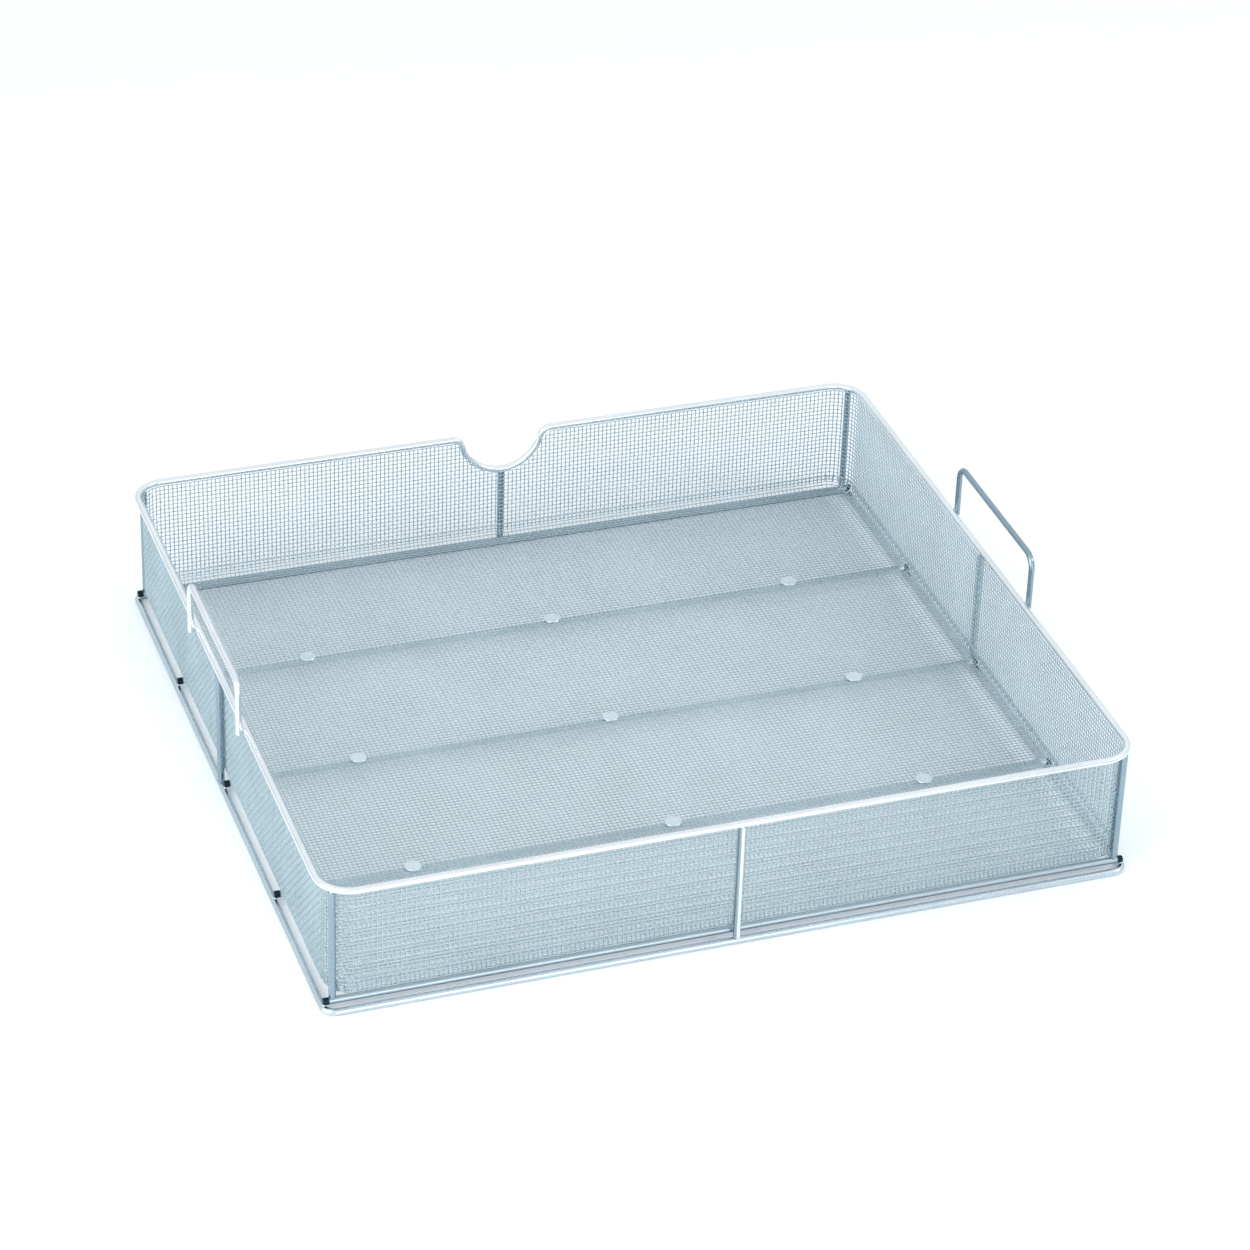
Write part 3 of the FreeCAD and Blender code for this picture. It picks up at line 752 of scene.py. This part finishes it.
def build_weld_spots():
    """Pressed discs with a low rim round a shallow dish."""
    seat = rod_top() + sizes().cloth + SEAT_GAP
    radius, rise = sizes().spot_diameter / 2, sizes().spot_thickness
    turn = np.arange(SPOT_SIDES) * (2 * math.pi / SPOT_SIDES)
    sweeps = Sweeps()
    for x in (-1, 0, 1):
        for y in (-1, 0, 1):
            middle = (x * sizes().spot_spread, y * sizes().rod_spacing)
            rings = []
            for share_out, share_up in SPOT_PROFILE:
                out = radius * share_out
                rings.append(np.column_stack((middle[0] + out * np.cos(turn),
                                              middle[1] + out * np.sin(turn),
                                              np.full(SPOT_SIDES, seat + rise * share_up))))
            sweeps.add_rings(np.array(rings))
    piece = sweeps.piece("floor_weld_spots", weld_steel(), sharp=SPOT_EDGE)
    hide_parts("weld_spots")


def add_bead(mesh, centre, radii, chance):
    """A small uneven bead of weld metal."""
    made = bmesh.ops.create_icosphere(mesh, subdivisions=BEAD_DETAIL, radius=1.0)
    for vertex in made["verts"]:
        swell = 1.0 + chance.uniform(-BEAD_SWELL, BEAD_SWELL)
        offset = [part * size * swell for part, size in zip(vertex.co, radii)]
        vertex.co = Vector(centre) + Vector(offset)


def build_weld_beads():
    """Beads where posts, rods and handles are welded to the rim and the base."""
    chance = random.Random(BEAD_SEED)
    mesh = bmesh.new()
    half_x, half_y = rim_half()
    post_x, post_y = post_reach()
    under_rim = sizes().height - sizes().frame_wire - SEAT_GAP / 2
    on_base = base_top() - SEAT_GAP / 2
    for x in (-post_x, post_x):
        for y in (-post_y, post_y):
            add_bead(mesh, (x, y, under_rim), FLAT_BEAD, chance)
            add_bead(mesh, (x, y, rod_top() - SEAT_GAP / 2), FLAT_BEAD, chance)
    places = [(0.0, -half_y, under_rim), (0.0, half_y, under_rim - sizes().notch_depth),
              (-half_x, sizes().post_shift, under_rim), (half_x, sizes().post_shift, under_rim)]
    for x, y, top in places:
        add_bead(mesh, (x, y, top), FLAT_BEAD, chance)
        add_bead(mesh, (x, y, on_base), FLAT_BEAD, chance)
    for side in (-1, 1):
        for y in (-post_y, -sizes().rod_spacing, 0.0, sizes().rod_spacing, post_y):
            add_bead(mesh, (side * (half_x - ROD_BEAD_INSET), y, on_base), ROD_BEAD, chance)
        for y in (-sizes().handle_spread / 2, sizes().handle_spread / 2):
            x = side * (half_x + sizes().frame_wire / 2)
            add_bead(mesh, (x, y, rim_height()), HANDLE_BEAD, chance)
    data = bpy.data.meshes.new("frame_weld_beads")
    mesh.to_mesh(data)
    mesh.free()
    data.polygons.foreach_set("use_smooth", np.ones(len(data.polygons), dtype=bool))
    piece = finish_piece("frame_weld_beads", data, weld_steel())


# Studio

AZIMUTH = math.radians(-19.79)
ELEVATION = math.radians(32.53)
ROLL = math.radians(2.01)
DISTANCE = 2.4936
AIM = Vector((0.0, 0.0, 0.0365))
SLIDE = (0.0076, 0.0295)
LENS = 125.9
SENSOR = 36.0
VIEW_END = 50.0
LIGHT_AIM = Vector((0.0, 0.0, 0.03))
SOFTBOXES = (("key_softbox", (1.9, -1.2, 1.6), 0.6, 12.0),
             ("fill_softbox", (-1.4, -1.2, 1.6), 1.4, 6.0),
             ("side_softbox", (-1.05, -0.5, 0.4), 0.8, 6.0),
             ("front_softbox", (0.1, -1.7, 0.3), 1.0, 6.0))
GROUND_REACH = 20.0
GROUND_ROUGHNESS = 0.9
SKY_TONES = ((0.0, (0.36, 0.42, 0.47)), (0.32, (0.94, 1.0, 1.03)))


def add_camera():
    back = Vector((math.sin(AZIMUTH) * math.cos(ELEVATION),
                   -math.cos(AZIMUTH) * math.cos(ELEVATION),
                   math.sin(ELEVATION)))
    level = Vector((math.cos(AZIMUTH), math.sin(AZIMUTH), 0.0))
    upper = back.cross(level)
    right = level * math.cos(ROLL) + upper * math.sin(ROLL)
    top = upper * math.cos(ROLL) - level * math.sin(ROLL)
    camera = bpy.data.objects.new("camera", bpy.data.cameras.new("camera"))
    camera.data.lens = LENS
    camera.data.sensor_width = SENSOR
    camera.data.clip_end = VIEW_END
    place = AIM + back * DISTANCE + right * SLIDE[0] + top * SLIDE[1]
    turned = Matrix((right, top, back)).transposed().to_4x4()
    camera.matrix_world = Matrix.Translation(place) @ turned
    bpy.context.scene.collection.objects.link(camera)
    bpy.context.scene.camera = camera


def add_softbox(name, place, size, power):
    """A square area light that faces the middle of the basket."""
    light = bpy.data.lights.new(name, "AREA")
    light.shape = "SQUARE"
    light.size = size
    light.energy = power
    softbox = bpy.data.objects.new(name, light)
    softbox.location = place
    softbox.rotation_euler = (LIGHT_AIM - Vector(place)).to_track_quat("-Z", "Y").to_euler()
    bpy.context.scene.collection.objects.link(softbox)


def add_ground():
    mesh = bpy.data.meshes.new("studio_floor")
    corners = [(x * GROUND_REACH, y * GROUND_REACH, 0.0)
               for x, y in ((-1, -1), (1, -1), (1, 1), (-1, 1))]
    mesh.from_pydata(corners, [], [(0, 1, 2, 3)])
    material, _, shader = new_material("studio_floor")
    shader.inputs["Base Color"].default_value = tuple(colours().ground) + (1.0,)
    shader.inputs["Roughness"].default_value = GROUND_ROUGHNESS
    mesh.materials.append(material)
    ground = bpy.data.objects.new("studio_floor", mesh)
    bpy.context.scene.collection.objects.link(ground)


def add_sky():
    """Even light, brighter from above than from the sides."""
    world = bpy.data.worlds.new("studio")
    world.use_nodes = True
    tree = world.node_tree
    background = tree.nodes["Background"]
    coordinates = tree.nodes.new("ShaderNodeTexCoord")
    split = tree.nodes.new("ShaderNodeSeparateXYZ")
    tree.links.new(coordinates.outputs["Generated"], split.inputs["Vector"])
    tree.links.new(ramp(tree, split.outputs["Z"], SKY_TONES), background.inputs["Color"])
    background.inputs["Strength"].default_value = 1.0
    bpy.context.scene.world = world


def build_stage():
    bpy.context.scene.view_settings.view_transform = "Standard"
    add_camera()
    add_ground()
    add_sky()
    for name, place, size, power in SOFTBOXES:
        add_softbox(name, place, size, power)


class BASKET_OT_stage(bpy.types.Operator):
    """Adds the camera, the floor and the lights."""

    bl_idname = "basket.stage"
    bl_label = "Studio"

    def execute(self, context):
        build_stage()
        return {"FINISHED"}


class BASKET_OT_top_rim(bpy.types.Operator):
    """Adds the rim wire with its pouring notch."""

    bl_idname = "basket.top_rim"
    bl_label = "Top rim"

    def execute(self, context):
        build_top_rim()
        return {"FINISHED"}


class BASKET_OT_base_rim(bpy.types.Operator):
    """Adds the wire on the ground."""

    bl_idname = "basket.base_rim"
    bl_label = "Base rim"

    def execute(self, context):
        build_base_rim()
        return {"FINISHED"}


class BASKET_OT_rods(bpy.types.Operator):
    """Adds the five rods of the base."""

    bl_idname = "basket.rods"
    bl_label = "Cross rods"

    def execute(self, context):
        build_rods()
        return {"FINISHED"}


class BASKET_OT_posts(bpy.types.Operator):
    """Adds the eight upright wires."""

    bl_idname = "basket.posts"
    bl_label = "Posts"

    def execute(self, context):
        build_posts()
        return {"FINISHED"}


class BASKET_OT_handles(bpy.types.Operator):
    """Adds the two wire handles."""

    bl_idname = "basket.handles"
    bl_label = "Handles"

    def execute(self, context):
        build_handles()
        return {"FINISHED"}


class BASKET_OT_wall_mesh(bpy.types.Operator):
    """Weaves the cloth of the four walls."""

    bl_idname = "basket.wall_mesh"
    bl_label = "Wall cloth"

    def execute(self, context):
        build_wall_mesh()
        return {"FINISHED"}


class BASKET_OT_floor_mesh(bpy.types.Operator):
    """Weaves the cloth of the floor and its lip."""

    bl_idname = "basket.floor_mesh"
    bl_label = "Floor cloth"

    def execute(self, context):
        build_floor_mesh()
        return {"FINISHED"}


class BASKET_OT_weld_spots(bpy.types.Operator):
    """Adds the pressed welds on the floor."""

    bl_idname = "basket.weld_spots"
    bl_label = "Weld spots"

    def execute(self, context):
        build_weld_spots()
        return {"FINISHED"}


class BASKET_OT_weld_beads(bpy.types.Operator):
    """Adds the beads where the wires meet."""

    bl_idname = "basket.weld_beads"
    bl_label = "Weld beads"

    def execute(self, context):
        build_weld_beads()
        return {"FINISHED"}


OPERATORS = (BASKET_OT_stage, BASKET_OT_top_rim, BASKET_OT_base_rim, BASKET_OT_rods,
             BASKET_OT_posts, BASKET_OT_handles, BASKET_OT_wall_mesh,
             BASKET_OT_floor_mesh, BASKET_OT_weld_spots, BASKET_OT_weld_beads)


class BASKET_PT_pieces(bpy.types.Panel):
    """Lists the pieces of the basket."""

    bl_label = "Strainer basket"
    bl_idname = "BASKET_PT_pieces"
    bl_space_type = "VIEW_3D"
    bl_region_type = "UI"
    bl_category = "Basket"

    def draw(self, context):
        for made in OPERATORS:
            self.layout.operator(made.bl_idname)
        for settings in (context.scene.basket_sizes, context.scene.basket_colours):
            for name in settings.bl_rna.properties.keys():
                if name not in ("rna_type", "name"):
                    self.layout.prop(settings, name)


CLASSES = (BasketSizes, BasketColours) + OPERATORS + (BASKET_PT_pieces,)


def register():
    for made in CLASSES:
        bpy.utils.register_class(made)
    bpy.types.Scene.basket_sizes = bpy.props.PointerProperty(type=BasketSizes)
    bpy.types.Scene.basket_colours = bpy.props.PointerProperty(type=BasketColours)


def unregister():
    del bpy.types.Scene.basket_colours
    del bpy.types.Scene.basket_sizes
    for made in reversed(CLASSES):
        bpy.utils.unregister_class(made)


def main():
    register()
    bpy.ops.basket.stage()
    bpy.ops.basket.top_rim()
    bpy.ops.basket.base_rim()
    bpy.ops.basket.rods()
    bpy.ops.basket.posts()
    bpy.ops.basket.handles()
    bpy.ops.basket.wall_mesh()
    bpy.ops.basket.floor_mesh()
    bpy.ops.basket.weld_spots()
    bpy.ops.basket.weld_beads()


if __name__ == "__main__":
    main()
